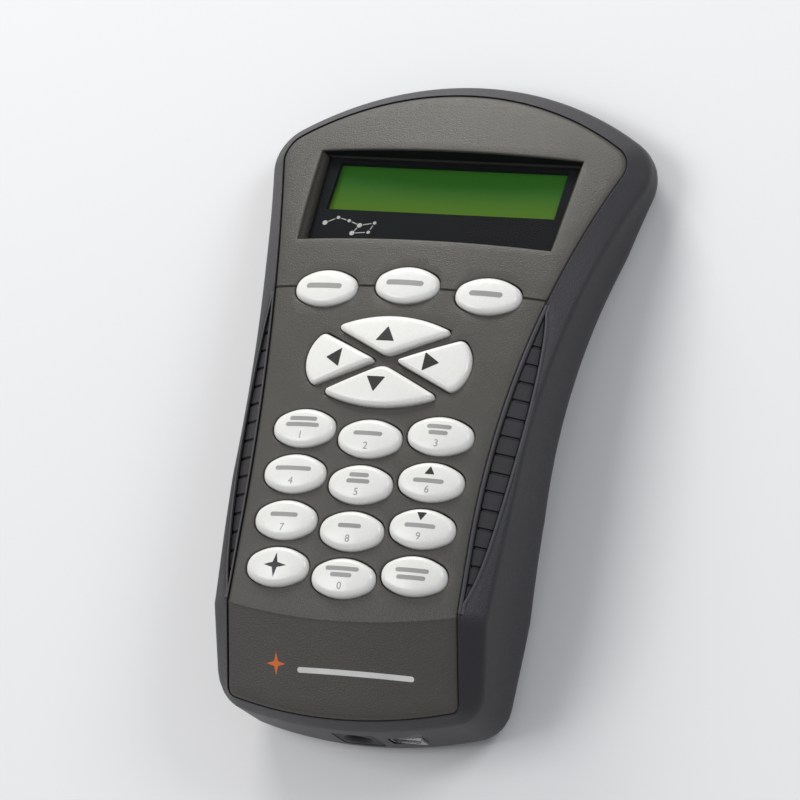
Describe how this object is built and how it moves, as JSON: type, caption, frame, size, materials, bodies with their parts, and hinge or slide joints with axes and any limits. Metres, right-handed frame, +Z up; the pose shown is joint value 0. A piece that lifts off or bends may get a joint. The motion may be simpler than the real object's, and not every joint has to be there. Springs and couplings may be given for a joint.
{
  "type": "telescope hand controller",
  "caption": "Handheld keypad controller for a telescope mount: flared head with a display window, oval keys, a split direction pad, ribbed side grips and a cord inlet.",
  "frame": {"origin": "middle of the case's box, on the surface that the back rests on", "axes": "+Z up through the keypad, +Y towards the display end, +X to the right when reading the keys"},
  "size_m": [0.0898, 0.1494, 0.0346],
  "materials": {
    "face_plastic": "fine spark-eroded texture, satin",
    "case_plastic": "fine texture, slightly bluish black",
    "grip_rubber": "soft matt rubber with cross grooves",
    "key_white": "glossy off-white with printed marks",
    "lens_clear": "clear, polished",
    "black_plastic": "smooth black print behind the lens",
    "display_green": "green liquid-crystal cell",
    "light_white": "white diffuser",
    "board_green": "solder mask",
    "chip_black": "moulded epoxy",
    "screw_steel": "zinc plated",
    "ribbon_grey": "flat cable",
    "socket_ivory": "moulded connector",
    "part_tan": "small electronic parts",
    "contact_gold": "gold flash",
    "mat_rubber": "translucent silicone",
    "socket_metal": "tin plated",
    "gland_rubber": "black rubber",
    "plate_silver": "blank satin foil",
    "key_print": "grey print on the keys",
    "arrow_print": "black print on the keys",
    "panel_mark": "off-white print on the face and behind the lens",
    "spark_mark": "orange print on the lower panel"
  },
  "bodies": {
    "case": {"front_shell": "face_plastic", "back_shell": "case_plastic", "left_grip": "grip_rubber", "right_grip": "grip_rubber", "display_lens": "lens_clear", "usb_socket": "socket_metal", "cord_gland": "gland_rubber", "case_screws": "screw_steel", "rating_plate": "plate_silver", "display_frame": "black_plastic", "display_glass": "display_green", "display_light": "light_white", "display_board": "board_green", "display_chips": "chip_black", "display_screws": "screw_steel", "ribbon_cable": "ribbon_grey", "ribbon_sockets": "socket_ivory", "main_board": "board_green", "board_chips": "chip_black", "board_parts": "part_tan", "board_screws": "screw_steel", "key_lights": "part_tan", "contact_pads": "contact_gold", "keypad_mat": "mat_rubber", "port_board": "board_green", "header_pins": "contact_gold", "cord_header": "socket_ivory"},
    "key_align": {"key_align": "key_white"},
    "key_enter": {"key_enter": "key_white"},
    "key_back": {"key_back": "key_white"},
    "key_1": {"key_1": "key_white"},
    "key_2": {"key_2": "key_white"},
    "key_3": {"key_3": "key_white"},
    "key_4": {"key_4": "key_white"},
    "key_5": {"key_5": "key_white"},
    "key_6": {"key_6": "key_white"},
    "key_7": {"key_7": "key_white"},
    "key_8": {"key_8": "key_white"},
    "key_9": {"key_9": "key_white"},
    "key_option": {"key_option": "key_white"},
    "key_0": {"key_0": "key_white"},
    "key_speed": {"key_speed": "key_white"},
    "key_up": {"key_up": "key_white"},
    "key_down": {"key_down": "key_white"},
    "key_left": {"key_left": "key_white"},
    "key_right": {"key_right": "key_white"}
  },
  "joints": [
    {"name": "press_align", "type": "slide", "parent": "case", "child": "key_align", "axis": [0, -0.0872, -0.9962], "range_m": [0, 0.001], "stiffness_N_per_m": 300, "springref_m": -0.001},
    {"name": "press_enter", "type": "slide", "parent": "case", "child": "key_enter", "axis": [0, -0.0872, -0.9962], "range_m": [0, 0.001], "stiffness_N_per_m": 300, "springref_m": -0.001},
    {"name": "press_back", "type": "slide", "parent": "case", "child": "key_back", "axis": [0, -0.0872, -0.9962], "range_m": [0, 0.001], "stiffness_N_per_m": 300, "springref_m": -0.001},
    {"name": "press_1", "type": "slide", "parent": "case", "child": "key_1", "axis": [0, -0.0872, -0.9962], "range_m": [0, 0.001], "stiffness_N_per_m": 300, "springref_m": -0.001},
    {"name": "press_2", "type": "slide", "parent": "case", "child": "key_2", "axis": [0, -0.0872, -0.9962], "range_m": [0, 0.001], "stiffness_N_per_m": 300, "springref_m": -0.001},
    {"name": "press_3", "type": "slide", "parent": "case", "child": "key_3", "axis": [0, -0.0872, -0.9962], "range_m": [0, 0.001], "stiffness_N_per_m": 300, "springref_m": -0.001},
    {"name": "press_4", "type": "slide", "parent": "case", "child": "key_4", "axis": [0, -0.0872, -0.9962], "range_m": [0, 0.001], "stiffness_N_per_m": 300, "springref_m": -0.001},
    {"name": "press_5", "type": "slide", "parent": "case", "child": "key_5", "axis": [0, -0.0872, -0.9962], "range_m": [0, 0.001], "stiffness_N_per_m": 300, "springref_m": -0.001},
    {"name": "press_6", "type": "slide", "parent": "case", "child": "key_6", "axis": [0, -0.0872, -0.9962], "range_m": [0, 0.001], "stiffness_N_per_m": 300, "springref_m": -0.001},
    {"name": "press_7", "type": "slide", "parent": "case", "child": "key_7", "axis": [0, -0.0872, -0.9962], "range_m": [0, 0.001], "stiffness_N_per_m": 300, "springref_m": -0.001},
    {"name": "press_8", "type": "slide", "parent": "case", "child": "key_8", "axis": [0, -0.0872, -0.9962], "range_m": [0, 0.001], "stiffness_N_per_m": 300, "springref_m": -0.001},
    {"name": "press_9", "type": "slide", "parent": "case", "child": "key_9", "axis": [0, -0.0872, -0.9962], "range_m": [0, 0.001], "stiffness_N_per_m": 300, "springref_m": -0.001},
    {"name": "press_option", "type": "slide", "parent": "case", "child": "key_option", "axis": [0, -0.0872, -0.9962], "range_m": [0, 0.001], "stiffness_N_per_m": 300, "springref_m": -0.001},
    {"name": "press_0", "type": "slide", "parent": "case", "child": "key_0", "axis": [0, -0.0872, -0.9962], "range_m": [0, 0.001], "stiffness_N_per_m": 300, "springref_m": -0.001},
    {"name": "press_speed", "type": "slide", "parent": "case", "child": "key_speed", "axis": [0, -0.0872, -0.9962], "range_m": [0, 0.001], "stiffness_N_per_m": 300, "springref_m": -0.001},
    {"name": "press_up", "type": "slide", "parent": "case", "child": "key_up", "axis": [0, -0.0872, -0.9962], "range_m": [0, 0.001], "stiffness_N_per_m": 300, "springref_m": -0.001},
    {"name": "press_down", "type": "slide", "parent": "case", "child": "key_down", "axis": [0, -0.0872, -0.9962], "range_m": [0, 0.001], "stiffness_N_per_m": 300, "springref_m": -0.001},
    {"name": "press_left", "type": "slide", "parent": "case", "child": "key_left", "axis": [0, -0.0872, -0.9962], "range_m": [0, 0.001], "stiffness_N_per_m": 300, "springref_m": -0.001},
    {"name": "press_right", "type": "slide", "parent": "case", "child": "key_right", "axis": [0, -0.0872, -0.9962], "range_m": [0, 0.001], "stiffness_N_per_m": 300, "springref_m": -0.001}
  ]
}
